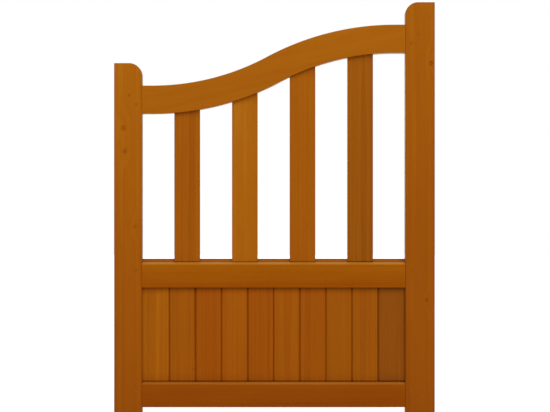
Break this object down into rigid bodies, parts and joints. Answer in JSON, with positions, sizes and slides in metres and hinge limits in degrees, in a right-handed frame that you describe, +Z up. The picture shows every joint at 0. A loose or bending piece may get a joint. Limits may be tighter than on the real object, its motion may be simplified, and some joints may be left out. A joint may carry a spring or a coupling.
{
  "type": "swan-neck garden gate leaf",
  "caption": "Timber garden gate leaf with a rising swan-neck top rail, open upright slats above a tongued and grooved boarded panel, hung by its taller stile.",
  "frame": {"origin": "the foot of the hanging stile's outer edge, at the middle of the gate's thickness", "axes": "+X out of the hanging edge, away from the leaf; the front face looks to -Y; +Z up"},
  "size_m": [1, 0.045, 1.3],
  "materials": {
    "stained_stile": "semi-gloss translucent golden-brown wood stain over straight-grained softwood",
    "stained_rail": "semi-gloss translucent golden-brown wood stain over straight-grained softwood",
    "stained_slat": "semi-gloss translucent golden-brown wood stain over straight-grained softwood",
    "stained_board": "semi-gloss translucent golden-brown wood stain over straight-grained softwood",
    "stained_peg": "stained end grain of a round wooden peg"
  },
  "bodies": {
    "root": {"hanging_stile": "stained_stile", "closing_stile": "stained_stile", "top_rail": "stained_rail", "middle_rail": "stained_rail", "bottom_rail": "stained_rail", "slat_1": "stained_slat", "slat_2": "stained_slat", "slat_3": "stained_slat", "slat_4": "stained_slat", "board_1": "stained_board", "board_2": "stained_board", "board_3": "stained_board", "board_4": "stained_board", "board_5": "stained_board", "board_6": "stained_board", "board_7": "stained_board", "board_8": "stained_board", "board_9": "stained_board", "board_10": "stained_board", "peg_top_closing_near": "stained_peg", "peg_top_closing_far": "stained_peg", "peg_top_hanging_near": "stained_peg", "peg_top_hanging_far": "stained_peg", "peg_middle_closing_near": "stained_peg", "peg_middle_closing_far": "stained_peg", "peg_middle_hanging_near": "stained_peg", "peg_middle_hanging_far": "stained_peg", "peg_bottom_closing_near": "stained_peg", "peg_bottom_closing_far": "stained_peg", "peg_bottom_hanging_near": "stained_peg", "peg_bottom_hanging_far": "stained_peg"}
  },
  "joints": []
}
